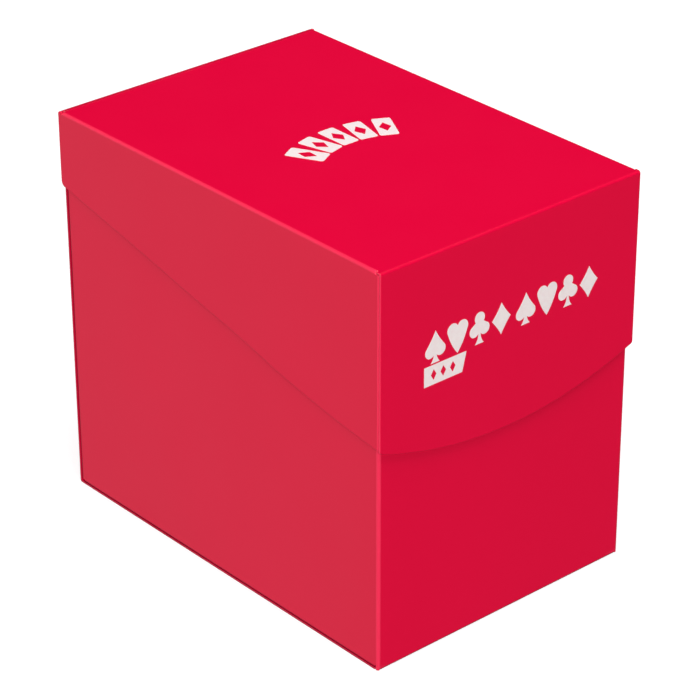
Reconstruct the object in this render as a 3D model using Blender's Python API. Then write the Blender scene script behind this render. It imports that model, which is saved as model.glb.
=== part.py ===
"""Hinged card deck box, folded and glued from polypropylene sheet, shown closed.

Metres, +Z up, standing on z = 0, front towards -Y. The body and the lid are one die-cut sheet each, and the
divider is a third. Every panel and glue flap between two creases is an object of its own.
"""

import math

import bmesh
import bpy
from mathutils import Vector

# Sheet and folds
SHEET = 0.0005
FOLD_RADIUS = 0.0008  # outside of a fold
FOLD_LEG = 0.0009  # from a fold's corner to the free edge of the panel that holds the fold
FOLD_STEPS = 6
CREASE_GAP = 0.0001  # between two panels that share a crease
GLUE_GAP = 0.0001  # between two sheets glued face to face
RUNNING_GAP = 0.0001  # between the lid and the body

# Body, outside
BODY_WIDTH = 0.0763
BODY_DEPTH = 0.1110
HEIGHT = 0.1000  # to the top of the closed lid
WALL_TOP = 0.0992

# Glue flaps of the side walls, which narrow towards their free ends
REAR_GLUE_FLAP = 0.0140
BOTTOM_GLUE_FLAP = 0.0160
GLUE_TAPER = 0.0040

# Thumb cut-out in the top of the front wall
THUMB_HALF_WIDTH = 0.0230
THUMB_DEPTH = 0.0220
THUMB_STEPS = 24

# Lid: its front flap ends in a shallow arc, with its two corners rounded
FRONT_EDGE_CORNER_Z = 0.0567
FRONT_EDGE_MIDDLE_Z = 0.0496
FRONT_CORNER_RADIUS = 0.0005
FRONT_STEPS = 26
LID_TAB = 0.0120
LID_TAB_BOTTOM = 0.0600
BACK_FLAP_BOTTOM = 0.0810
BACK_FLAP_TAPER = 0.0010
CORNER_STEPS = 8

# Lower edge of a side flap of the lid, from front to back: y, z
SIDE_EDGE = (
    (-0.0546, 0.0572),
    (-0.0400, 0.0594),
    (-0.0240, 0.0626),
    (-0.0080, 0.0667),
    (0.0080, 0.0702),
    (0.0230, 0.0737),
    (0.0380, 0.0770),
    (0.0548, 0.0807),
)
SIDE_EDGE_STEPS = 5  # between two of these points
SIDE_CORNER_RADIUS = 0.0016

# Living hinge
HINGE_HALF = 0.0013  # from the corner of the fold to where the thinned strip ends
HINGE_WEB = 0.0003
HINGE_HALF_WIDTH = 0.0381

# Divider
DIVIDER_HALF_WIDTH = 0.0369
DIVIDER_BOTTOM = 0.0013
DIVIDER_TOP = 0.0933
DIVIDER_Y = 0.0250
DIVIDER_CORNER_RADIUS = 0.0040

RED = (0.78, 0.004, 0.05, 1.0)
ROUGHNESS = 0.45
SMOOTH_ANGLE = math.radians(40)

X_AXIS, Y_AXIS, Z_AXIS = 0, 1, 2

# The front of the lid stands further out than its back, so the body is shifted to centre the closed box.
BACK_OVERHANG = GLUE_GAP + SHEET
FRONT_OVERHANG = RUNNING_GAP + SHEET + GLUE_GAP + SHEET
BODY_SHIFT = (FRONT_OVERHANG - BACK_OVERHANG) / 2
BODY_X = BODY_WIDTH / 2
BODY_FRONT = BODY_SHIFT - BODY_DEPTH / 2
BODY_BACK = BODY_SHIFT + BODY_DEPTH / 2
LID_X = BODY_X + RUNNING_GAP + SHEET
LID_FRONT = BODY_FRONT - FRONT_OVERHANG
LID_BACK = BODY_BACK + BACK_OVERHANG
LID_TAB_FRONT = LID_FRONT + SHEET + GLUE_GAP
HINGE_Y = LID_BACK - SHEET / 2
HINGE_Z = HEIGHT - SHEET / 2


def clear_scene():
    for item in list(bpy.data.objects):
        bpy.data.objects.remove(item, do_unlink=True)


def sheet_material():
    material = bpy.data.materials.new("red_polypropylene")
    material.use_nodes = True
    shader = material.node_tree.nodes["Principled BSDF"]
    shader.inputs["Base Color"].default_value = RED
    shader.inputs["Roughness"].default_value = ROUGHNESS
    return material


def joint_empty(name, place):
    empty = bpy.data.objects.new(name, None)
    empty.empty_display_size = 0.01
    empty.location = place
    bpy.context.scene.collection.objects.link(empty)
    return empty


def at(axis, along, across):
    """The point at `along` on one axis, whose two other coordinates are `across`."""
    values = list(across)
    values.insert(axis, along)
    return Vector(values)


def folded(*corners):
    """Points along the outer face of a sheet seen end on, with a rounded square fold at each inner corner."""
    corners = [Vector(c) for c in corners]
    path = [corners[0]]
    for before, corner, after in zip(corners, corners[1:], corners[2:]):
        arriving = (corner - before).normalized()
        leaving = (after - corner).normalized()
        centre = corner + FOLD_RADIUS * (leaving - arriving)
        for step in range(FOLD_STEPS + 1):
            turn = math.pi / 2 * step / FOLD_STEPS
            path.append(centre + FOLD_RADIUS * (arriving * math.sin(turn) - leaving * math.cos(turn)))
    return path + corners[-1:]


def sheet(name, rows, outward, thickness=SHEET, parent=None):
    """A sheet from rows of points on its outer face, thickened inwards.

    outward is the normal at the first point. With a parent, the origin is the parent's.
    """
    base = parent.location if parent else Vector((0, 0, 0))
    shape = bmesh.new()
    grid = [[shape.verts.new(point - base) for point in row] for row in rows]
    for near, far in zip(grid, grid[1:]):
        for corners in zip(near, near[1:], far[1:], far):
            shape.faces.new(corners)
    shape.normal_update()
    shape.faces.ensure_lookup_table()
    if shape.faces[0].normal.dot(outward) < 0:
        bmesh.ops.reverse_faces(shape, faces=shape.faces)
    mesh = bpy.data.meshes.new(name)
    shape.to_mesh(mesh)
    shape.free()
    mesh.materials.append(bpy.data.materials["red_polypropylene"])
    mesh.shade_smooth()
    mesh.set_sharp_from_angle(angle=SMOOTH_ANGLE)
    item = bpy.data.objects.new(name, mesh)
    item.parent = parent
    bpy.context.scene.collection.objects.link(item)
    thicken(item, thickness)
    return item


def thicken(item, thickness):
    modifier = item.modifiers.new("thickness", "SOLIDIFY")
    modifier.thickness = thickness
    modifier.offset = -1.0
    modifier.use_even_offset = True


def strip(name, path, outward, lows, highs, axis, **options):
    """A sheet whose section is `path`, reaching from lows to highs along an axis.

    Each of lows and highs is one value, or one for each point of the path.
    """
    rows = []
    for ends in (lows, highs):
        ends = ends if isinstance(ends, list) else [ends] * len(path)
        rows.append([at(axis, end, point) for end, point in zip(ends, path)])
    return sheet(name, rows, at(axis, 0, outward), **options)


def spread(start, stop, steps):
    return [start + (stop - start) * step / steps for step in range(steps + 1)]


def smooth_curve(knots, steps):
    """Points on a Catmull-Rom curve through the knots."""
    knots = [Vector(k) for k in knots]
    knots = [2 * knots[0] - knots[1]] + knots + [2 * knots[-1] - knots[-2]]
    points = []
    for a, b, c, d in zip(knots, knots[1:], knots[2:], knots[3:]):
        for t in spread(0, 1, steps)[:-1]:
            point = b + (c - a) * t / 2
            point += (2 * a - 5 * b + 4 * c - d) * t ** 2 / 2
            point += (3 * b - a - 3 * c + d) * t ** 3 / 2
            points.append(point)
    return points + [knots[-2]]


def rounding(distance, radius):
    """How far a quarter circle has left its tangent, at this distance along it."""
    distance = min(max(distance, 0.0), radius)
    return radius - math.sqrt(radius ** 2 - distance ** 2)


def thumb_edge(x):
    """Height of the front wall's top edge."""
    if abs(x) >= THUMB_HALF_WIDTH:
        return WALL_TOP
    return WALL_TOP - THUMB_DEPTH * (1 + math.cos(math.pi * x / THUMB_HALF_WIDTH)) / 2


def build_bottom_and_back():
    section = folded(
        (BODY_FRONT, FOLD_LEG), (BODY_FRONT, 0), (BODY_BACK, 0), (BODY_BACK, FOLD_LEG)
    )
    strip("bottom_panel", section, (-1, 0), -BODY_X, BODY_X, X_AXIS)
    flat = [Vector((x, BODY_BACK)) for x in (-BODY_X, BODY_X)]
    strip("back_wall", flat, (0, 1), FOLD_LEG + CREASE_GAP, WALL_TOP, Z_AXIS)


def build_front_wall():
    left = folded(
        (-BODY_X, BODY_FRONT + FOLD_LEG), (-BODY_X, BODY_FRONT), (-THUMB_HALF_WIDTH, BODY_FRONT)
    )
    middle = [Vector((x, BODY_FRONT)) for x in spread(-THUMB_HALF_WIDTH, THUMB_HALF_WIDTH, THUMB_STEPS)]
    right = [Vector((-p.x, p.y)) for p in reversed(left)]
    section = left + middle[1:-1] + right
    tops = [thumb_edge(point.x) for point in section]
    strip("front_wall", section, (-1, 0), FOLD_LEG + CREASE_GAP, tops, Z_AXIS)


def build_side(side):
    """One side wall with its two glue flaps. side is -1 for left and 1 for right."""
    label = "left" if side < 0 else "right"
    wall_x = side * BODY_X
    rear_face = BODY_BACK - SHEET - GLUE_GAP
    floor_z = SHEET + GLUE_GAP
    front = BODY_FRONT + FOLD_LEG + CREASE_GAP
    back = rear_face - FOLD_LEG - CREASE_GAP
    bottom = floor_z + FOLD_LEG + CREASE_GAP
    flat = [Vector((wall_x, y)) for y in (front, back)]
    strip(label + "_wall", flat, (side, 0), bottom, WALL_TOP, Z_AXIS)
    section = folded(
        (wall_x, rear_face - FOLD_LEG),
        (wall_x, rear_face),
        (wall_x - side * REAR_GLUE_FLAP, rear_face),
    )
    tapered_flap(label + "_rear_glue_flap", section, side, bottom, WALL_TOP, Z_AXIS)
    section = folded(
        (wall_x, floor_z + FOLD_LEG),
        (wall_x, floor_z),
        (wall_x - side * BOTTOM_GLUE_FLAP, floor_z),
    )
    tapered_flap(label + "_bottom_glue_flap", section, side, front, back, Y_AXIS)


def tapered_flap(name, section, side, low, high, axis):
    """A glue flap, square along its fold and narrower at its free end."""
    lows = [low] * (len(section) - 1) + [low + GLUE_TAPER]
    highs = [high] * (len(section) - 1) + [high - GLUE_TAPER]
    strip(name, section, (side, 0), lows, highs, axis)


def build_hinge():
    low = HINGE_Z - HINGE_HALF
    section = folded(
        (HINGE_Y - HINGE_HALF + CREASE_GAP, HEIGHT), (LID_BACK, HEIGHT), (LID_BACK, low + CREASE_GAP)
    )
    strip(
        "hinge_crease", section, (0, 1), -HINGE_HALF_WIDTH, HINGE_HALF_WIDTH, X_AXIS, thickness=HINGE_WEB
    )
    xs = (-BODY_X, BACK_FLAP_TAPER - BODY_X, BODY_X - BACK_FLAP_TAPER, BODY_X)
    flat = [Vector((x, LID_BACK)) for x in xs]
    lows = [BACK_FLAP_BOTTOM + BACK_FLAP_TAPER, BACK_FLAP_BOTTOM]
    strip("lid_back_flap", flat, (0, 1), lows + lows[::-1], low, Z_AXIS)


def build_lid_top(lid):
    section = folded(
        (-LID_X, HEIGHT - FOLD_LEG), (-LID_X, HEIGHT), (LID_X, HEIGHT), (LID_X, HEIGHT - FOLD_LEG)
    )
    front = LID_FRONT + FOLD_LEG + CREASE_GAP
    strip("lid_top_panel", section, (-1, 0), front, HINGE_Y - HINGE_HALF, Y_AXIS, parent=lid)


def front_edge(x):
    """Height of the front flap's lower edge."""
    sagitta = FRONT_EDGE_CORNER_Z - FRONT_EDGE_MIDDLE_Z
    radius = (LID_X ** 2 + sagitta ** 2) / (2 * sagitta)
    corner = rounding(abs(x) - LID_X + FRONT_CORNER_RADIUS, FRONT_CORNER_RADIUS)
    return FRONT_EDGE_MIDDLE_Z + rounding(abs(x), radius) + corner


def front_columns():
    inner = LID_X - FRONT_CORNER_RADIUS
    turns = spread(0, math.pi / 2, CORNER_STEPS)[1:]
    right = [inner + FRONT_CORNER_RADIUS * math.sin(turn) for turn in turns]
    return [-x for x in reversed(right)] + spread(-inner, inner, FRONT_STEPS) + right


def build_lid_front(lid):
    rows = []
    for x in front_columns():
        section = folded(
            (LID_FRONT + FOLD_LEG, HEIGHT), (LID_FRONT, HEIGHT), (LID_FRONT, front_edge(x))
        )
        rows.append([at(X_AXIS, x, point) for point in section])
    sheet("lid_front_flap", rows, Vector((0, 0, 1)), parent=lid)


def side_outline():
    """(y, lower z, upper z) along a side flap, whose upper rear corner follows the fold at the back."""
    top = HEIGHT - FOLD_LEG - CREASE_GAP
    outline = [(p.x, p.y, top) for p in smooth_curve(SIDE_EDGE, SIDE_EDGE_STEPS)]
    corner_y, corner_z, _ = outline[-1]
    ear = HINGE_Y - HINGE_HALF + CREASE_GAP
    fold_y = LID_BACK - FOLD_RADIUS
    turns = spread(0, math.pi / 2, CORNER_STEPS)
    rear = [fold_y + FOLD_RADIUS * math.sin(turn) for turn in turns]
    for y in [ear - CREASE_GAP, ear] + rear:
        low = corner_z + rounding(y - corner_y, SIDE_CORNER_RADIUS)
        high = HEIGHT - rounding(y - fold_y, FOLD_RADIUS)
        outline.append((y, low, high if y >= ear else top))
    return outline


def build_lid_side(side, lid):
    label = "lid_left" if side < 0 else "lid_right"
    ys, lows, highs = (list(values) for values in zip(*side_outline()))
    flat = [Vector((side * LID_X, y)) for y in ys]
    strip(label + "_flap", flat, (side, 0), lows, highs, Z_AXIS, parent=lid)
    section = folded(
        (side * LID_X, LID_TAB_FRONT + FOLD_LEG),
        (side * LID_X, LID_TAB_FRONT),
        (side * (LID_X - LID_TAB), LID_TAB_FRONT),
    )
    lows = [SIDE_EDGE[0][1]] * (len(section) - 1) + [LID_TAB_BOTTOM]
    top = HEIGHT - FOLD_LEG - CREASE_GAP
    highs = [top] * (len(section) - 1) + [top - GLUE_TAPER]
    strip(label + "_front_tab", section, (side, 0), lows, highs, Z_AXIS, parent=lid)


def build_divider():
    rail = joint_empty("divider_slide", (0, DIVIDER_Y, DIVIDER_BOTTOM))
    inner = DIVIDER_HALF_WIDTH - DIVIDER_CORNER_RADIUS
    turns = spread(0, math.pi / 2, CORNER_STEPS)
    xs = [inner + DIVIDER_CORNER_RADIUS * math.sin(turn) for turn in turns]
    xs = [-x for x in reversed(xs)] + xs
    flat = [Vector((x, DIVIDER_Y - SHEET / 2)) for x in xs]
    highs = [DIVIDER_TOP - rounding(abs(x) - inner, DIVIDER_CORNER_RADIUS) for x in xs]
    strip("card_divider", flat, (0, -1), DIVIDER_BOTTOM, highs, Z_AXIS, parent=rail)


def build():
    clear_scene()
    sheet_material()
    build_bottom_and_back()
    build_front_wall()
    build_hinge()
    lid = joint_empty("lid_hinge", (0, HINGE_Y, HINGE_Z))
    build_lid_top(lid)
    build_lid_front(lid)
    for side in (-1, 1):
        build_side(side)
        build_lid_side(side, lid)
    build_divider()


build()
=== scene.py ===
import math

import bmesh
import bpy
from mathutils import Matrix, Vector
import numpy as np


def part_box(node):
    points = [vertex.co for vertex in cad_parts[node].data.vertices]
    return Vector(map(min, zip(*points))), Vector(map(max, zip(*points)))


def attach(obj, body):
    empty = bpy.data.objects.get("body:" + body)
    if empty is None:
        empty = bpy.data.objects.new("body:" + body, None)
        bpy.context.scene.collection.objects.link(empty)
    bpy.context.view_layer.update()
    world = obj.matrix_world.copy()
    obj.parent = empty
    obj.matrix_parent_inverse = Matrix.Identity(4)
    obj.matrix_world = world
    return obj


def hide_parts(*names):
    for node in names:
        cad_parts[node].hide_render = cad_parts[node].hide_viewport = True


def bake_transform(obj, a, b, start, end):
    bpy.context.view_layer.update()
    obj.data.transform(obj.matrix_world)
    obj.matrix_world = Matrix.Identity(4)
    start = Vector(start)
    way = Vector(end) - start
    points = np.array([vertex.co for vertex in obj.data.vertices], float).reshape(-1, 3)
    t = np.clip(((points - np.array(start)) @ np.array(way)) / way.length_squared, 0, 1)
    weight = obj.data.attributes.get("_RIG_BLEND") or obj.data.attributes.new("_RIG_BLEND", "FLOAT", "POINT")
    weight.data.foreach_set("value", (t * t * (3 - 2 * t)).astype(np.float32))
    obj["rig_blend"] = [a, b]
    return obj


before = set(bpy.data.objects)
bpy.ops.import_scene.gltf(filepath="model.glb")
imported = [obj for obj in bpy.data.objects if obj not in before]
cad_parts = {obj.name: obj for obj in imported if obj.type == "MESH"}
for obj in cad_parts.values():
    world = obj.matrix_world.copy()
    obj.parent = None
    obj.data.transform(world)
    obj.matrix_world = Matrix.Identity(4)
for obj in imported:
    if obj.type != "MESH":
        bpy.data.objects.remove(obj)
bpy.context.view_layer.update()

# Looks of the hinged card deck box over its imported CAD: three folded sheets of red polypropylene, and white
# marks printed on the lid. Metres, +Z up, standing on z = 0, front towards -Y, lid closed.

INK = 0.00003  # thickness of the print; the lid is set in by as much, so that the print stays inside the size

# Overall sizes, read from the CAD
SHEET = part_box("back_wall")[1].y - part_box("back_wall")[0].y
BODY_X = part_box("back_wall")[1].x
BODY_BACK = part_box("back_wall")[1].y
WALL_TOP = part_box("back_wall")[1].z
BODY_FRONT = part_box("front_wall")[0].y
REAR_FLAP_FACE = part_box("left_rear_glue_flap")[1].y
BOTTOM_FLAP_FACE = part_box("left_bottom_glue_flap")[0].z
REAR_GLUE_FLAP = BODY_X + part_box("left_rear_glue_flap")[1].x
BOTTOM_GLUE_FLAP = BODY_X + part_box("left_bottom_glue_flap")[1].x
LID_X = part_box("lid_front_flap")[1].x - INK
LID_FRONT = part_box("lid_front_flap")[0].y
LID_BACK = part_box("lid_back_flap")[1].y
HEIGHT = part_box("lid_top_panel")[1].z
LID_TOP_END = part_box("lid_top_panel")[1].y
TAB_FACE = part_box("lid_left_front_tab")[0].y
LID_TAB = LID_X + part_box("lid_left_front_tab")[1].x
BACK_FLAP_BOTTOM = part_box("lid_back_flap")[0].z
HINGE_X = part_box("hinge_crease")[1].x
FRONT_EDGE_MIDDLE_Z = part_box("lid_front_flap")[0].z
DIVIDER_LOW, DIVIDER_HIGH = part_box("card_divider")

# Outside radii of the folds; only the first is the CAD's, and the others are tighter
FOLD_RADIUS = 0.0008
LID_FOLD_RADIUS = 0.0007
TAB_FOLD_RADIUS = 0.00055
BOTTOM_FOLD_RADIUS = 0.00055

# Shapes that a box doesn't tell, the same as in the CAD
GLUE_TAPER = 0.0040
THUMB_HALF_WIDTH = 0.0230
THUMB_DEPTH = 0.0220
FRONT_EDGE_CORNER_Z = 0.0567
FRONT_CORNER_RADIUS = 0.0005
LID_TAB_BOTTOM = 0.0600
BACK_FLAP_TAPER = 0.0010
HINGE_HALF = 0.0013  # from the corner of the fold to either end of the strip that bends
SIDE_EDGE = (  # (y, z) along the lower edge of the lid's side flaps, from front to back
    (-0.0546, 0.0572),
    (-0.0400, 0.0594),
    (-0.0240, 0.0626),
    (-0.0080, 0.0667),
    (0.0080, 0.0702),
    (0.0230, 0.0737),
    (0.0380, 0.0770),
    (0.0548, 0.0807),
)
SIDE_CORNER_RADIUS = 0.0016
DIVIDER_CORNER_RADIUS = 0.0040

# Fine detail of the sheets
LEAD = 0.0001  # straight piece between a fold and a free edge
NEAR = LEAD / 10  # slack when places are compared
CORNER_SLIT = 0.0003  # where three folds meet, the blank is slit and the slit stays open
FOOT_GAP = 0.00002  # under the cut ends of the front folds
HINGE_NAME = "hinge_and_back_flap"
HINGE_SEAM = 0.00002  # between the lid's top panel and the hinge
HINGE_WEB_SHARE = 0.6  # thickness of the hinge where it bends, as a share of the sheet's
SHARP = math.radians(60)  # a mesh edge that turns by more is a cut edge, and is eased
EDGE_BEVEL = 0.00014
EDGE_SEGMENTS = 2
SHEET_WELD = 0.000002  # points of a sheet closer than this are one
INK_WELD = 0.000001

# How much paler than the sheet a fold, a cut edge or the strip beside a fold is, partly stress whitening and
# partly painted highlight; below 0 it is deeper, which is painted shade
UPRIGHT_FOLD_WHITENING_AND_HIGHLIGHT = 1.0
SIDE_FOLD_WHITENING_AND_HIGHLIGHT = 0.75
FRONT_FOLD_PAINTED_SHADE = -0.12
FAR_FOLD_PAINTED_SHADE = -0.8
FAR_EDGE_PAINTED_SHADE = -0.6
HINGE_STRIP_PAINTED_SHADE = -0.4

# How finely the shapes are divided
FOLD_STEPS = 8
CORNER_STEPS = 5
FRONT_CORNER_STEPS = 3
EAR_STEPS = 3
PANEL_STEP = 0.0045
SIDE_EDGE_STEPS = 5
THUMB_STEPS = 46
WALL_ROWS = 20
FOOT_ROWS = 2
FLAP_ROWS = 8

# Printed marks: their middles and sizes
TOP_MARK_PLACE = (0.0005, 0.0022)
FAN_CARDS = 5
FAN_STEP = math.radians(14)
FAN_RADIUS = 0.0250
FAN_CARD = (0.0046, 0.0095)
FAN_PIP = (0.0015, 0.0024)
SUIT_HEIGHT = 0.0078
SUIT_BASE_Z = 0.0736
SUIT_PITCH = 0.0065
SUIT_GAP = 0.0009  # more between the two groups of four
SUITS_IN_GROUP = 4
SUIT_MIDDLE = 0.0002
TAG_LOW = (-0.0262, 0.0684)
TAG_HIGH = (-0.0138, 0.0732)
TAG_SLANT = 0.0012
TAG_PIPS = 3
TAG_PIP_SHARE = 0.55  # size of the tag's pips, as a share of the fan's

# Colours, linear
RED = (0.80, 0.0006, 0.0440, 1.0)
RED_DEEP = (0.785, 0.0006, 0.0425, 1.0)
# Pale fold colour: partly stress whitening, partly painted highlight
FOLD_WHITENING_AND_HIGHLIGHT = (0.85, 0.0260, 0.0820, 1.0)
# Painted shade for the folds and cut edges that turn away from the light
FOLD_SHADE = (0.28, 0.0020, 0.0200, 1.0)
# Pale cut-edge colour: partly stress whitening, partly painted highlight
CUT_WHITENING_AND_HIGHLIGHT = (0.98, 0.0560, 0.1300, 1.0)
INK_WHITE = (0.92, 0.83, 0.82, 1.0)
INK_THIN = (0.90, 0.74, 0.74, 1.0)
FLOOR_WHITE = (0.50, 0.50, 0.50, 1.0)
FLOOR_GLOW = 0.63

# Surfaces; a noise is its scale, its detail and the range that it is mapped to
NOISE_RANGE = (0.3, 0.7)  # the values of a noise that fill such a range
SHEET_TINT_NOISE = (22, 3, 0.0, 1.0)
SHEET_ROUGHNESS_NOISE = (60, 2, 0.28, 0.33)
SHEET_WAVE_NOISE = (14, 1, 0.0, 1.0)
SHEET_GRAIN_NOISE = (2400, 1, 0.0, 1.0)
SHEET_WAVE_BUMP = (0.0003, 0.12)  # distance and strength
SHEET_GRAIN_BUMP = (0.00003, 0.08)
SHEET_SPECULAR = 0.35
INK_TINT_NOISE = (900, 3, 0.0, 0.6)
INK_ROUGHNESS_NOISE = (400, 2, 0.38, 0.50)
INK_GRAIN_NOISE = (2600, 2, 0.0, 1.0)
INK_GRAIN_BUMP = (0.00002, 0.4)
INK_SPECULAR = 0.25
FLOOR_ROUGHNESS = 0.9

# Camera
CAMERA_PLACE = (-0.4035, -0.4642, 0.3752)
CAMERA_AZIMUTH = math.radians(-41.14)
CAMERA_ELEVATION = math.radians(28.17)
CAMERA_ROLL = math.radians(-0.13)
CAMERA_LENS = 152.1  # millimetres, as is the sensor
CAMERA_SENSOR = 36
CAMERA_NEAREST = 0.01

# Lights: azimuth and elevation in degrees, distance, side, watts
LIGHTS = {
    "overhead_light": (-8, 79, 3.0, 2.6, 89.0),
    "front_light": (-37.5, 10, 3.0, 2.6, 120.0),
    "rear_fill": (139, 1, 1.6, 0.3, 6.5),
}
DULL_LIGHT = "rear_fill"  # leaves no highlight
LIGHT_TARGET = Vector((0, 0, 0.05))
WORLD_DIM = 0.008
WORLD_BRIGHT = 0.55
WORLD_BRIGHT_SIDE = (-0.80, 0.60, 0.05)
WORLD_BRIGHT_RANGE = (0.45, 0.85)  # how near to that side the world starts to brighten, and is bright
WORLD_BELOW = 0.10
WORLD_BELOW_RANGE = (-0.3, 0.1)  # heights between which it fades from below to dim
FLOOR_SIZE = 6.0


# ---------------------------------------------------------------- materials

def node(tree, kind, **inputs):
    """A new shader node with some inputs set; an underscore in a name stands for a space."""
    made = tree.nodes.new(kind)
    for name, value in inputs.items():
        made.inputs[name.replace("_", " ")].default_value = value
    return made


def map_range(tree, value, start, stop, low=0.0, high=1.0):
    """A node that maps a value from start and stop to low and high."""
    mapped = node(tree, "ShaderNodeMapRange", From_Min=start, From_Max=stop, To_Min=low, To_Max=high)
    tree.links.new(value, mapped.inputs["Value"])
    return mapped


def noise_map(tree, place, scale, detail, low, high):
    """Noise in object space, mapped to a range."""
    noise = node(tree, "ShaderNodeTexNoise", Scale=scale, Detail=detail)
    tree.links.new(place, noise.inputs["Vector"])
    return map_range(tree, noise.outputs["Fac"], *NOISE_RANGE, low, high).outputs["Result"]


def mixed(tree, factor, first, second):
    """A colour between two, each a colour or a socket."""
    mix = tree.nodes.new("ShaderNodeMix")
    mix.data_type = "RGBA"
    tree.links.new(factor, mix.inputs["Factor"])
    for socket, value in ((mix.inputs[6], first), (mix.inputs[7], second)):
        if isinstance(value, tuple):
            socket.default_value = value
        else:
            tree.links.new(value, socket)
    return mix.outputs[2]


def bumped(tree, height, distance, strength, before=None):
    """Normals bumped by a height, over those of an earlier bump if there is one."""
    bump = node(tree, "ShaderNodeBump", Distance=distance, Strength=strength)
    tree.links.new(height, bump.inputs["Height"])
    if before:
        tree.links.new(before, bump.inputs["Normal"])
    return bump.outputs["Normal"]


def new_material(name):
    """A new material with its nodes, its shader and the place in object space."""
    material = bpy.data.materials.new(name)
    material.use_nodes = True
    tree = material.node_tree
    place = tree.nodes.new("ShaderNodeTexCoord").outputs["Object"]
    return material, tree, tree.nodes["Principled BSDF"], place


def sheet_material(name, base, deep):
    """Polypropylene sheet: a fine matt grain over faint rolling waves, paler where it is folded or cut
    (partly stress whitening, partly painted highlight), deeper with painted shade at the far folds and edges.
    """
    _, tree, shader, place = new_material(name)
    colour = mixed(tree, noise_map(tree, place, *SHEET_TINT_NOISE), base, deep)
    fold = tree.nodes.new("ShaderNodeAttribute")
    fold.attribute_name = "fold"
    # Mixes in the pale fold colour (stress whitening with painted highlight) and the painted fold shade
    for end, tint in ((1, FOLD_WHITENING_AND_HIGHLIGHT), (-1, FOLD_SHADE)):
        amount = map_range(tree, fold.outputs["Fac"], 0, end)
        colour = mixed(tree, amount.outputs["Result"], colour, tint)
    tree.links.new(colour, shader.inputs["Base Color"])
    tree.links.new(noise_map(tree, place, *SHEET_ROUGHNESS_NOISE), shader.inputs["Roughness"])
    shader.inputs["Specular IOR Level"].default_value = SHEET_SPECULAR
    waves = bumped(tree, noise_map(tree, place, *SHEET_WAVE_NOISE), *SHEET_WAVE_BUMP)
    grain = bumped(tree, noise_map(tree, place, *SHEET_GRAIN_NOISE), *SHEET_GRAIN_BUMP, waves)
    tree.links.new(grain, shader.inputs["Normal"])


def ink_material():
    """Screen-printed ink, a little thin in places."""
    _, tree, shader, place = new_material("white_ink")
    colour = mixed(tree, noise_map(tree, place, *INK_TINT_NOISE), INK_WHITE, INK_THIN)
    tree.links.new(colour, shader.inputs["Base Color"])
    tree.links.new(noise_map(tree, place, *INK_ROUGHNESS_NOISE), shader.inputs["Roughness"])
    shader.inputs["Specular IOR Level"].default_value = INK_SPECULAR
    grain = bumped(tree, noise_map(tree, place, *INK_GRAIN_NOISE), *INK_GRAIN_BUMP)
    tree.links.new(grain, shader.inputs["Normal"])


def floor_material():
    material, _, shader, _ = new_material("pale_floor")
    shader.inputs["Base Color"].default_value = FLOOR_WHITE
    shader.inputs["Roughness"].default_value = FLOOR_ROUGHNESS
    shader.inputs["Specular IOR Level"].default_value = 0.0
    shader.inputs["Emission Color"].default_value = (1, 1, 1, 1)
    shader.inputs["Emission Strength"].default_value = FLOOR_GLOW
    return material


# ---------------------------------------------------------------- outlines

def spread(start, stop, steps):
    """Values from start to stop in even steps."""
    return [start + (stop - start) * step / steps for step in range(steps + 1)]


def divided(start, stop):
    """Evenly spaced values no further apart than a panel's step."""
    return spread(start, stop, math.ceil(abs(stop - start) / PANEL_STEP))


def rounding(distance, radius):
    """How far a circle has left its tangent, at this distance along the tangent."""
    distance = min(max(distance, 0.0), radius)
    return radius - math.sqrt(radius ** 2 - distance ** 2)


def round_corner(across, along, radius):
    """Moves a point of a square corner into a round one; both distances are from the circle's centre."""
    if across <= 0 or along <= 0:
        return across, along
    u, v = across / radius, along / radius
    return across * math.sqrt(1 - v ** 2 / 2), along * math.sqrt(1 - u ** 2 / 2)


def smooth_curve(knots, steps):
    """Points on a Catmull-Rom curve through the knots."""
    knots = [Vector(k) for k in knots]
    knots = [2 * knots[0] - knots[1]] + knots + [2 * knots[-1] - knots[-2]]
    points = []
    for a, b, c, d in zip(knots, knots[1:], knots[2:], knots[3:]):
        for t in spread(0, 1, steps)[:-1]:
            point = b + (c - a) * t / 2
            point += (2 * a - 5 * b + 4 * c - d) * t ** 2 / 2
            point += (3 * b - a - 3 * c + d) * t ** 3 / 2
            points.append(point)
    return points + [knots[-2]]


def folded(*corners, radius=FOLD_RADIUS, share=0.0):
    """Points along the outer face of a sheet seen end on, rounded at each square corner.

    Each comes with its share of fold. A corner that turns by less than 60 degrees is kept as it is.
    """
    corners = [Vector(c) for c in corners]
    path = [(corners[0], 0.0)]
    for before, corner, after in zip(corners, corners[1:], corners[2:]):
        arriving = (corner - before).normalized()
        leaving = (after - corner).normalized()
        if arriving.dot(leaving) > math.cos(SHARP):
            path += panel(path[-1][0], corner)
            continue
        centre = corner + radius * (leaving - arriving)
        path += panel(path[-1][0], corner - radius * arriving)
        for step in range(1, FOLD_STEPS + 1):
            turn = math.pi / 2 * step / FOLD_STEPS
            point = centre + radius * (arriving * math.sin(turn) - leaving * math.cos(turn))
            path.append((point, share if step < FOLD_STEPS else 0.0))
    return path + panel(path[-1][0], corners[-1])


def panel(start, stop):
    """Points on a flat panel from start, which is left out, to stop, each with no share of fold."""
    steps = math.ceil((stop - start).length / PANEL_STEP)
    return [(start.lerp(stop, step / steps), 0.0) for step in range(1, steps + 1)]


def thumb_edge(x):
    """Height of the front wall's top edge."""
    if abs(x) >= THUMB_HALF_WIDTH:
        return WALL_TOP
    return WALL_TOP - THUMB_DEPTH * (1 + math.cos(math.pi * x / THUMB_HALF_WIDTH)) / 2


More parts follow.
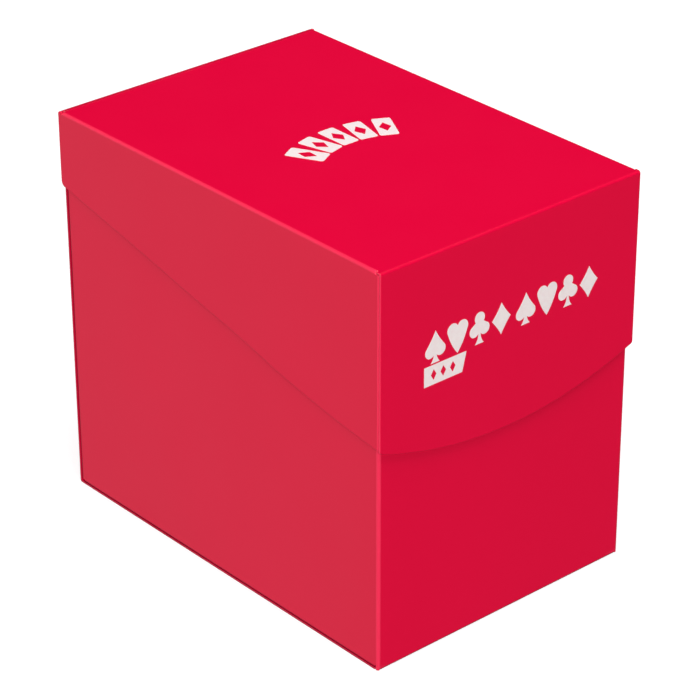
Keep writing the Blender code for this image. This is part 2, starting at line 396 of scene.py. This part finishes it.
def front_edge(x):
    """Height of the lid's front flap's lower edge, before its corners are rounded."""
    sagitta = FRONT_EDGE_CORNER_Z - FRONT_EDGE_MIDDLE_Z
    radius = (LID_X ** 2 + sagitta ** 2) / (2 * sagitta)
    return FRONT_EDGE_MIDDLE_Z + rounding(abs(x), radius)


# ---------------------------------------------------------------- meshes

def new_object(name, data):
    """A new object, in the scene."""
    item = bpy.data.objects.new(name, data)
    bpy.context.scene.collection.objects.link(item)
    return item


def evaluated_mesh(item):
    """The mesh that an object's modifiers or its curve settings make."""
    bpy.context.view_layer.update()
    graph = bpy.context.evaluated_depsgraph_get()
    return bpy.data.meshes.new_from_object(item.evaluated_get(graph), depsgraph=graph)


def apply_modifiers(item):
    mesh = evaluated_mesh(item)
    item.modifiers.clear()
    item.data = mesh


def new_shape():
    """An empty shape whose points can hold a share of fold: a tint that is stress whitening with painted
    highlight above 0, and painted shade below 0.
    """
    shape = bmesh.new()
    shape.verts.layers.float.new("fold")
    return shape


def add_grid(shape, rows):
    """Faces between rows of points, each point with its share of fold."""
    fold = shape.verts.layers.float["fold"]
    grid = []
    for row in rows:
        verts = []
        for point, share in row:
            vert = shape.verts.new(point)
            vert[fold] = share
            verts.append(vert)
        grid.append(verts)
    for near, far in zip(grid, grid[1:]):
        for corners in zip(near, near[1:], far[1:], far):
            shape.faces.new(corners)


def finish_sheet(name, shape, outward_at, outward):
    """One object from the grids, welded, facing out, thickened inwards and with its cut edges eased.

    outward_at is a point near a face whose normal is outward.
    """
    bmesh.ops.remove_doubles(shape, verts=shape.verts, dist=SHEET_WELD)
    bmesh.ops.recalc_face_normals(shape, faces=shape.faces)
    nearest = min(shape.faces, key=lambda f: (f.calc_center_median() - Vector(outward_at)).length)
    if nearest.normal.dot(Vector(outward)) < 0:
        bmesh.ops.reverse_faces(shape, faces=shape.faces)
    mesh = bpy.data.meshes.new(name)
    shape.to_mesh(mesh)
    shape.free()
    item = new_object(name, mesh)
    mesh.materials.append(bpy.data.materials["red_sheet_face"])
    mesh.materials.append(bpy.data.materials["red_sheet_cut_whitening_and_highlight"])
    mesh.shade_smooth()
    thicken(item)
    ease_edges(item)
    shading = item.modifiers.new("shading", "WEIGHTED_NORMAL")
    shading.keep_sharp = True
    shading.weight = 100
    return item


def thicken(item):
    """Thickens a sheet inwards; the hinge is thinner where it bends, which its share of fold tells."""
    thickness = item.modifiers.new("thickness", "SOLIDIFY")
    thickness.thickness = SHEET
    thickness.offset = -1.0
    thickness.material_offset_rim = 1
    if item.name == HINGE_NAME:
        group = item.vertex_groups.new(name="thickness")
        for index, value in enumerate(item.data.attributes["fold"].data):
            bends = value.value < (FAR_FOLD_PAINTED_SHADE + HINGE_STRIP_PAINTED_SHADE) / 2
            group.add([index], HINGE_WEB_SHARE if bends else 1.0, "REPLACE")
        thickness.vertex_group = group.name
    apply_modifiers(item)


def ease_edges(item):
    """Rounds the cut edges, except those that meet where the lid's top panel ends at the hinge."""
    shape = bmesh.new()
    shape.from_mesh(item.data)
    sharp = [
        edge for edge in shape.edges
        if edge.calc_face_angle(0) > SHARP and not all(at_hinge_seam(v.co) for v in edge.verts)
    ]
    bmesh.ops.bevel(
        shape, geom=sharp, offset=EDGE_BEVEL, segments=EDGE_SEGMENTS, profile=0.5, affect="EDGES",
        clamp_overlap=False, loop_slide=True, material=-1,
    )
    shape.to_mesh(item.data)
    shape.free()


def at_hinge_seam(point):
    """Whether a point is where the lid's top panel and the hinge meet."""
    return abs(point.y - LID_TOP_END) < LEAD and point.z > HEIGHT - 2 * SHEET


def raised(points, low, high, steps):
    """Rows of points from low to high over (x, y, share of fold); low and high are functions of x and y."""
    rows = []
    for step in range(steps + 1):
        row = []
        for x, y, share in points:
            bottom, top = low(x, y), high(x, y)
            row.append((Vector((x, y, bottom + (top - bottom) * step / steps)), share))
        rows.append(row)
    return rows


# ---------------------------------------------------------------- body sheet

WALL_BOTTOM = BOTTOM_FLAP_FACE + BOTTOM_FOLD_RADIUS + LEAD
SIDE_START = BODY_FRONT + FOLD_RADIUS + CORNER_SLIT
SIDE_STOP = REAR_FLAP_FACE - FOLD_RADIUS - CORNER_SLIT


def flap_inset(x, root, length):
    """How far across a glue flap a point is, from 0 at its fold to 1 at its free end."""
    return min(max((root - abs(x)) / length, 0.0), 1.0)


def rear_taper(x, y):
    """How far a rear glue flap's upper and lower edges have closed in."""
    if y < REAR_FLAP_FACE - LEAD:
        return 0.0
    return GLUE_TAPER * flap_inset(x, BODY_X - FOLD_RADIUS, REAR_GLUE_FLAP - FOLD_RADIUS)


def wall_low(x, y):
    return WALL_BOTTOM + rear_taper(x, y)


def wall_high(x, y):
    if y < BODY_FRONT + LEAD:
        return thumb_edge(x)
    return WALL_TOP - rear_taper(x, y)


def wall_section():
    """The body's walls seen from above, from one rear glue flap round to the other."""
    thumb = [(x, BODY_FRONT) for x in spread(-THUMB_HALF_WIDTH, THUMB_HALF_WIDTH, THUMB_STEPS)]
    left = [
        (REAR_GLUE_FLAP - BODY_X, REAR_FLAP_FACE),
        (-BODY_X, REAR_FLAP_FACE),
        (-BODY_X, SIDE_STOP),
        (-BODY_X, SIDE_START),
        (-BODY_X, BODY_FRONT),
    ]
    right = [(-x, y) for x, y in reversed(left)]
    # The front upright folds are paled: partly stress whitening, partly painted highlight
    section = folded(*left, *thumb, *right, share=UPRIGHT_FOLD_WHITENING_AND_HIGHLIGHT)
    # The rear upright folds take painted shade instead
    return [(point, share if point.y < 0 else FAR_FOLD_PAINTED_SHADE * share) for point, share in section]


def add_walls(shape, section):
    points = [(point.x, point.y, share) for point, share in section]
    add_grid(shape, raised(points, wall_low, wall_high, WALL_ROWS))


def add_fold_feet(shape, section):
    """The two front folds run on down beside the bottom panel and end in a cut edge."""
    inner = BODY_X - FOLD_RADIUS
    for side in (-1, 1):
        points = [
            (p.x, p.y, share)
            for p, share in section
            if side * p.x > inner - NEAR and p.y < BODY_FRONT + FOLD_RADIUS + NEAR
        ]
        add_grid(shape, raised(points, lambda x, y: BOTTOM_FOLD_RADIUS, wall_low, 1))
        free = [p for p in points if side * p[0] > inner + NEAR]
        add_grid(shape, raised(free, lambda x, y: FOOT_GAP, lambda x, y: BOTTOM_FOLD_RADIUS, FOOT_ROWS))


def add_bottom_and_back(shape, section):
    """The fold under the front wall, and the bottom and back wall, which are wider than that fold."""
    inner = BODY_X - FOLD_RADIUS + NEAR
    xs = [p.x for p, _ in section if abs(p.x) < inner and p.y < BODY_FRONT + NEAR]
    # Painted shade on the folds under the front and back walls, and on the side cut edges of bottom and back
    profile = folded(
        (BODY_FRONT, WALL_BOTTOM), (BODY_FRONT, 0), (SIDE_START, 0), (BODY_BACK, 0), (BODY_BACK, WALL_TOP),
        radius=BOTTOM_FOLD_RADIUS, share=FAR_FOLD_PAINTED_SHADE,
    )
    turn_end = next(i for i, (p, _) in enumerate(profile) if p.x > SIDE_START - NEAR)
    wide = [-BODY_X] + xs + [BODY_X]
    for columns, part in ((xs, profile[: turn_end + 1]), (wide, profile[turn_end:])):
        rows = []
        for p, share in part:
            row = [(Vector((x, p.x, p.y)), share) for x in columns]
            if columns is wide:
                row[0] = (row[0][0], FAR_EDGE_PAINTED_SHADE)
                row[-1] = (row[-1][0], FAR_EDGE_PAINTED_SHADE)
            rows.append(row)
        add_grid(shape, rows)


def add_bottom_flaps(shape):
    """The glue flaps on the bottom panel, on the folds under the side walls."""
    ys = divided(SIDE_START, SIDE_STOP)
    middle = (SIDE_START + SIDE_STOP) / 2
    half = SIDE_STOP - middle
    for side in (-1, 1):
        # Painted shade on the folds under the side walls
        profile = folded(
            (side * BODY_X, WALL_BOTTOM),
            (side * BODY_X, BOTTOM_FLAP_FACE),
            (side * (BODY_X - BOTTOM_GLUE_FLAP), BOTTOM_FLAP_FACE),
            radius=BOTTOM_FOLD_RADIUS, share=FAR_FOLD_PAINTED_SHADE,
        )
        rows = []
        for p, share in profile:
            inset = flap_inset(p.x, BODY_X - BOTTOM_FOLD_RADIUS, BOTTOM_GLUE_FLAP - BOTTOM_FOLD_RADIUS)
            squeeze = 1 - GLUE_TAPER * inset / half
            rows.append([(Vector((p.x, middle + (y - middle) * squeeze, p.y)), share) for y in ys])
        add_grid(shape, rows)


def build_body():
    shape = new_shape()
    section = wall_section()
    add_walls(shape, section)
    add_fold_feet(shape, section)
    add_bottom_and_back(shape, section)
    add_bottom_flaps(shape)
    item = finish_sheet("body_sheet", shape, (-BODY_X, 0, WALL_TOP / 2), (-1, 0, 0))
    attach(item, "body")
    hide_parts("bottom_panel", "front_wall", "back_wall", "left_wall", "right_wall")
    for side in ("left", "right"):
        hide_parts(side + "_rear_glue_flap", side + "_bottom_glue_flap")


# ---------------------------------------------------------------- lid sheet

LID_TOP = HEIGHT - INK
LID_FACE = LID_FRONT + INK
FOLD_Z = LID_TOP - LID_FOLD_RADIUS  # where the lid's vertical panels meet their folds
SLIT_Y = SIDE_EDGE[0][0]
EAR_Y = LID_BACK - LID_FOLD_RADIUS
EAR_START = LID_TOP_END + CORNER_SLIT


def side_columns():
    """(y, z) along a side flap's lower edge, from front to back, before its rear corner is rounded."""
    columns = [(p.x, p.y) for p in smooth_curve(SIDE_EDGE, SIDE_EDGE_STEPS)]
    rear_z = columns[-1][1]
    ys = [LID_TOP_END, EAR_START] + spread(EAR_Y, LID_BACK, EAR_STEPS)
    return columns + [(y, rear_z) for y in ys]


def side_rise(y, low):
    """Points (y, z) from a side flap's lower edge up to its fold, with the rear corner rounded."""
    start = low + SIDE_CORNER_RADIUS
    centre_y = SIDE_EDGE[-1][0]
    points = []
    for z in spread(low, start, CORNER_STEPS) + spread(start, FOLD_Z, FLAP_ROWS)[1:]:
        across, down = round_corner(y - centre_y, start - z, SIDE_CORNER_RADIUS)
        points.append((centre_y + across, start - down))
    return points


def lid_columns():
    """x of the columns across the lid, with one where the side folds end."""
    fold = LID_X - LID_FOLD_RADIUS
    right = spread(LID_X - FRONT_CORNER_RADIUS, LID_X, FRONT_CORNER_STEPS)
    return [-x for x in reversed(right)] + divided(-fold, fold) + right


def add_lid_top(shape, xs):
    """The top panel with its two side folds and side flaps."""
    flat = [x for x in xs if abs(x) < LID_X - LID_FOLD_RADIUS + NEAR]
    # The side folds are paled: partly stress whitening, partly painted highlight
    corner = folded(
        (-LID_X, FOLD_Z), (-LID_X, LID_TOP), (LID_FOLD_RADIUS - LID_X, LID_TOP),
        radius=LID_FOLD_RADIUS, share=SIDE_FOLD_WHITENING_AND_HIGHLIGHT,
    )
    rows = []
    for y, low in side_columns():
        if y > LID_TOP_END + NEAR:
            break
        left = [(Vector((-LID_X, *point)), 0.0) for point in side_rise(y, low)[:-1]]
        left += [(Vector((p.x, y, p.y)), share) for p, share in corner]
        middle = [(Vector((x, y, LID_TOP)), 0.0) for x in flat[1:-1]]
        right = [(Vector((-p.x, p.y, p.z)), share) for p, share in reversed(left)]
        rows.append(left + middle + right)
    add_grid(shape, rows)


def add_lid_front(shape, xs):
    """The front fold and flap, slit from the side folds at its two upper corners."""
    fold_end = LID_X - LID_FOLD_RADIUS + NEAR
    add_grid(shape, [
        [(Vector((x, y, LID_TOP)), 0.0) for x in xs if abs(x) < fold_end]
        for y in (SLIT_Y, SLIT_Y - CORNER_SLIT)
    ])
    # The lid's front fold gets a little painted shade
    profile = folded(
        (SLIT_Y - CORNER_SLIT, LID_TOP), (LID_FACE, LID_TOP), (LID_FACE, FOLD_Z),
        radius=LID_FOLD_RADIUS, share=FRONT_FOLD_PAINTED_SHADE,
    )
    inner = LID_X - FRONT_CORNER_RADIUS
    rows = []
    for x in xs:
        row = [(Vector((x, p.x, p.y)), share) for p, share in profile]
        edge = front_edge(x)
        start = edge + FRONT_CORNER_RADIUS
        for z in spread(FOLD_Z, start, FLAP_ROWS)[1:] + spread(start, edge, FRONT_CORNER_STEPS)[1:]:
            across, down = round_corner(abs(x) - inner, start - z, FRONT_CORNER_RADIUS)
            row.append((Vector((math.copysign(inner + across, x), LID_FACE, start - down)), 0.0))
        rows.append(row)
    add_grid(shape, rows)


def add_ears(shape):
    """The rear ends of the side flaps, whose upper corners follow the fold at the back."""
    columns = [c for c in side_columns() if c[0] > LID_TOP_END - NEAR]
    for side in (-1, 1):
        low_rows = []
        high_rows = []
        for y, low in columns:
            # Painted shade on the rear cut edges of the side flaps
            share = FAR_EDGE_PAINTED_SHADE if y == LID_BACK else 0.0
            low_rows.append([(Vector((side * LID_X, *point)), share) for point in side_rise(y, low)])
            if y < EAR_START - NEAR:
                continue
            row = []
            for z in spread(FOLD_Z, LID_TOP, EAR_STEPS):
                across, up = round_corner(y - EAR_Y, z - FOLD_Z, LID_FOLD_RADIUS)
                row.append((Vector((side * LID_X, EAR_Y + across, FOLD_Z + up)), share))
            high_rows.append(row)
        add_grid(shape, low_rows)
        add_grid(shape, high_rows)


def add_tabs(shape):
    """The tabs behind the front flap, on the vertical folds of the side flaps."""
    low = SIDE_EDGE[0][1]
    heights = [z for _, z in side_rise(*SIDE_EDGE[0])]
    for side in (-1, 1):
        # The tabs' upright folds are paled: partly stress whitening, partly painted highlight
        section = folded(
            (side * LID_X, SLIT_Y), (side * LID_X, TAB_FACE), (side * (LID_X - LID_TAB), TAB_FACE),
            radius=TAB_FOLD_RADIUS, share=UPRIGHT_FOLD_WHITENING_AND_HIGHLIGHT,
        )
        rows = []
        for p, share in section:
            inset = flap_inset(p.x, LID_X - TAB_FOLD_RADIUS, LID_TAB - TAB_FOLD_RADIUS)
            bottom = low + (LID_TAB_BOTTOM - low) * inset
            top = FOLD_Z - GLUE_TAPER * inset
            row = []
            for z in heights:
                tapered = bottom + (top - bottom) * (z - low) / (FOLD_Z - low)
                row.append((Vector((p.x, p.y, tapered)), share))
            rows.append(row)
        add_grid(shape, rows)


def build_lid():
    shape = new_shape()
    xs = lid_columns()
    add_lid_top(shape, xs)
    add_lid_front(shape, xs)
    add_ears(shape)
    add_tabs(shape)
    item = finish_sheet("lid_sheet", shape, (0, 0, LID_TOP), (0, 0, 1))
    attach(item, "lid")
    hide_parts("lid_top_panel", "lid_front_flap")
    for side in ("lid_left", "lid_right"):
        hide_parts(side + "_flap", side + "_front_tab")


# ---------------------------------------------------------------- living hinge

def build_hinge():
    """The lid's back flap and the strip that bends, in one piece that blends from the body to the lid."""
    # Painted shade on the hinge's fold, and lighter painted shade on the flat strip before it
    profile = folded(
        (LID_TOP_END + HINGE_SEAM, LID_TOP), (LID_BACK, LID_TOP), (LID_BACK, BACK_FLAP_BOTTOM),
        radius=LID_FOLD_RADIUS, share=FAR_FOLD_PAINTED_SHADE,
    )
    inner = HINGE_X - BACK_FLAP_TAPER
    xs = [-HINGE_X] + divided(-inner, inner) + [HINGE_X]
    shape = new_shape()
    rows = []
    for p, share in profile:
        row = []
        if share == 0.0 and p.y > FOLD_Z:
            share = HINGE_STRIP_PAINTED_SHADE
        for x in xs:
            lowest = BACK_FLAP_BOTTOM + (BACK_FLAP_TAPER if abs(x) > inner + LEAD else 0.0)
            row.append((Vector((x, p.x, max(p.y, lowest))), share))
        rows.append(row)
    add_grid(shape, rows)
    item = finish_sheet(HINGE_NAME, shape, (0, LID_BACK, (BACK_FLAP_BOTTOM + HEIGHT) / 2), (0, 1, 0))
    apply_modifiers(item)
    pivot = Vector((0, LID_BACK - SHEET / 2, HEIGHT - SHEET / 2))
    start = pivot - Vector((0, 0, HINGE_HALF))
    end = pivot - Vector((0, HINGE_HALF, 0))
    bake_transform(item, "body", "lid", start=start, end=end)
    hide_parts("hinge_crease", "lid_back_flap")


# ---------------------------------------------------------------- divider

def build_divider():
    radius = DIVIDER_CORNER_RADIUS
    half = DIVIDER_HIGH.x
    inner = half - radius
    top = DIVIDER_HIGH.z - radius
    right = spread(inner, half, CORNER_STEPS)[1:]
    xs = [-x for x in reversed(right)] + divided(-inner, inner) + right
    rows = []
    for z in divided(DIVIDER_LOW.z, top) + spread(top, DIVIDER_HIGH.z, CORNER_STEPS)[1:]:
        row = []
        for x in xs:
            across, up = round_corner(abs(x) - inner, z - top, radius)
            row.append((Vector((math.copysign(inner + across, x), DIVIDER_LOW.y, top + up)), 0.0))
        rows.append(row)
    shape = new_shape()
    add_grid(shape, rows)
    item = finish_sheet("divider_sheet", shape, (0, DIVIDER_LOW.y, top / 2), (0, -1, 0))
    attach(item, "divider")
    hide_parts("card_divider")


# ---------------------------------------------------------------- printed marks

def rounded_card(width, height, radius=0.0006, steps=6):
    """Outline of a playing card about the origin."""
    points = []
    for quadrant, (sx, sy) in enumerate(((1, 1), (-1, 1), (-1, -1), (1, -1))):
        centre = Vector((sx * (width / 2 - radius), sy * (height / 2 - radius)))
        for turn in spread(quadrant * math.pi / 2, (quadrant + 1) * math.pi / 2, steps):
            points.append(centre + radius * Vector((math.cos(turn), math.sin(turn))))
    return points


def arc(centre, radius, start, stop, steps=16):
    turns = spread(math.radians(start), math.radians(stop), steps)
    return [Vector(centre) + radius * Vector((math.cos(t), math.sin(t))) for t in turns]


def bowed(start, stop, bow, steps=10):
    """Points from start to stop on a curve whose middle stands off the line by bow, to its left."""
    start, stop = Vector(start), Vector(stop)
    across = (stop - start).normalized()
    left = Vector((-across.y, across.x))
    return [start.lerp(stop, t) + left * bow * 4 * t * (1 - t) for t in spread(0, 1, steps)]


def mirrored(right):
    """A closed outline from its right half, listed from top to bottom."""
    return right + [Vector((-p.x, p.y)) for p in reversed(right)]


# Each suit is an outline one unit high, with its foot at 0

def diamond():
    return mirrored(bowed((0, 1.0), (0.36, 0.5), -0.02) + bowed((0.36, 0.5), (0, 0.0), -0.02))


def heart():
    lobe = arc((0.185, 0.775), 0.205, 154, -28)
    return mirrored(lobe + bowed(lobe[-1], (0, 0.0), 0.035))


def stem():
    return bowed((0.055, 0.22), (0.17, 0.0), -0.02)


def spade():
    lobe = arc((0.190, 0.365), 0.190, 40, -140)
    return mirrored(bowed((0, 1.0), lobe[0], -0.02) + lobe + stem())


def club():
    crown = arc((0, 0.800), 0.190, 90, -38)
    lobe = arc((0.195, 0.43), 0.185, 68, -150)
    return mirrored(crown + lobe + stem())


def printed(name, outlines, place):
    """One object of filled outlines, where an outline inside another is a hole.

    place turns their plane into the lid's.
    """
    curve = bpy.data.curves.new(name, "CURVE")
    curve.dimensions = "2D"
    curve.fill_mode = "BOTH"
    curve.extrude = INK / 2
    for points in outlines:
        spline = curve.splines.new("POLY")
        spline.points.add(len(points) - 1)
        for target, point in zip(spline.points, points):
            target.co = (point.x, point.y, 0, 1)
        spline.use_cyclic_u = True
    flat = new_object(name + "_outline", curve)
    mesh = evaluated_mesh(flat)
    bpy.data.objects.remove(flat, do_unlink=True)
    weld(mesh)
    mesh.transform(place)
    mesh.materials.clear()
    mesh.materials.append(bpy.data.materials["white_ink"])
    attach(new_object(name, mesh), "lid")


def weld(mesh):
    """Joins the faces and rims that a filled curve leaves apart, so that each outline is a closed solid."""
    shape = bmesh.new()
    shape.from_mesh(mesh)
    bmesh.ops.remove_doubles(shape, verts=shape.verts, dist=INK_WELD)
    shape.to_mesh(mesh)
    shape.free()


def build_top_mark():
    """A fan of five cards."""
    outlines = []
    for index in range(FAN_CARDS):
        lean = Matrix.Rotation((FAN_CARDS // 2 - index) * FAN_STEP, 2)
        for loop in (rounded_card(*FAN_CARD), fan_pip()):
            outlines.append([
                lean @ (p + Vector((0, FAN_RADIUS))) - Vector((0, FAN_RADIUS)) for p in loop
            ])
    x, y = TOP_MARK_PLACE
    printed("print_top", outlines, Matrix.Translation((x, y, HEIGHT - INK / 2)))


def fan_pip():
    width, height = FAN_PIP
    return [Vector((0, height)), Vector((-width, 0)), Vector((0, -height)), Vector((width, 0))]


def build_front_mark():
    """Two groups of card suits in a row, over a slanted tag with pips knocked out of it."""
    outlines = []
    for group in (-1, 1):
        for index, suit in enumerate((spade, heart, club, diamond)):
            along = (index - SUITS_IN_GROUP / 2 + 0.5) * SUIT_PITCH
            middle = SUIT_MIDDLE + group * (SUITS_IN_GROUP * SUIT_PITCH + SUIT_GAP) / 2
            base = Vector((middle + along, SUIT_BASE_Z))
            outlines.append([base + SUIT_HEIGHT * p for p in suit()])
    low, high = Vector(TAG_LOW), Vector(TAG_HIGH)
    outlines.append([low, Vector((high.x - TAG_SLANT, low.y)), high, Vector((low.x, high.y))])
    middle = (low.y + high.y) / 2
    for x in spread(low.x, high.x - TAG_SLANT, TAG_PIPS + 1)[1:-1]:
        outlines.append([Vector((x, middle)) + TAG_PIP_SHARE * p for p in fan_pip()])
    upright = Matrix.Translation((0, LID_FRONT + INK / 2, 0)) @ Matrix.Rotation(math.pi / 2, 4, "X")
    printed("print_front", outlines, upright)


# ---------------------------------------------------------------- stage

def toward(azimuth, elevation):
    """Unit vector from the box to a place; azimuth 0 is in front of it and 90 to its right."""
    a, e = math.radians(azimuth), math.radians(elevation)
    return Vector((math.sin(a) * math.cos(e), -math.cos(a) * math.cos(e), math.sin(e)))


def build_lights():
    for name, (azimuth, elevation, distance, side, watts) in LIGHTS.items():
        light = bpy.data.lights.new(name, "AREA")
        light.size = side
        light.energy = watts
        item = new_object(name, light)
        direction = toward(azimuth, elevation)
        item.location = LIGHT_TARGET + distance * direction
        item.rotation_euler = direction.to_track_quat("Z", "Y").to_euler()
        item.visible_camera = False
        item.visible_glossy = name != DULL_LIGHT


def build_world():
    """Dim above, paler below like a white table, and bright on the left like a white wall there."""
    world = bpy.data.worlds.new("studio")
    bpy.context.scene.world = world
    world.use_nodes = True
    tree = world.node_tree
    direction = tree.nodes.new("ShaderNodeTexCoord").outputs["Generated"]
    dot = tree.nodes.new("ShaderNodeVectorMath")
    dot.operation = "DOT_PRODUCT"
    tree.links.new(direction, dot.inputs[0])
    dot.inputs[1].default_value = WORLD_BRIGHT_SIDE
    level = map_range(tree, dot.outputs["Value"], *WORLD_BRIGHT_RANGE, WORLD_DIM, WORLD_BRIGHT)
    level.interpolation_type = "SMOOTHSTEP"
    height = tree.nodes.new("ShaderNodeSeparateXYZ")
    tree.links.new(direction, height.inputs["Vector"])
    table = map_range(tree, height.outputs["Z"], *WORLD_BELOW_RANGE, WORLD_BELOW, WORLD_DIM)
    tree.links.new(table.outputs["Result"], level.inputs["To Min"])
    tree.links.new(level.outputs["Result"], tree.nodes["Background"].inputs["Strength"])
    tree.nodes["Background"].inputs["Color"].default_value = (1, 1, 1, 1)


def build_floor():
    mesh = bpy.data.meshes.new("floor")
    half = FLOOR_SIZE / 2
    mesh.from_pydata(
        [(-half, -half, 0), (half, -half, 0), (half, half, 0), (-half, half, 0)], [], [(0, 1, 2, 3)]
    )
    mesh.materials.append(floor_material())
    floor = new_object("floor", mesh)
    floor.visible_diffuse = False
    floor.visible_glossy = False


def build_camera():
    lens = bpy.data.cameras.new("camera")
    lens.lens = CAMERA_LENS
    lens.sensor_width = CAMERA_SENSOR
    lens.clip_start = CAMERA_NEAREST
    camera = new_object("camera", lens)
    camera.matrix_world = (
        Matrix.Translation(CAMERA_PLACE)
        @ Matrix.Rotation(CAMERA_AZIMUTH, 4, "Z")
        @ Matrix.Rotation(math.pi / 2 - CAMERA_ELEVATION, 4, "X")
        @ Matrix.Rotation(CAMERA_ROLL, 4, "Z")
    )
    bpy.context.scene.camera = camera


bpy.context.scene.view_settings.view_transform = "Standard"
build_camera()
sheet_material("red_sheet_face", RED, RED_DEEP)
# The cut edges are paler: partly stress whitening, partly painted highlight
sheet_material("red_sheet_cut_whitening_and_highlight", CUT_WHITENING_AND_HIGHLIGHT, RED)
ink_material()
build_body()
build_lid()
build_hinge()
build_divider()
build_top_mark()
build_front_mark()
build_lights()
build_world()
build_floor()
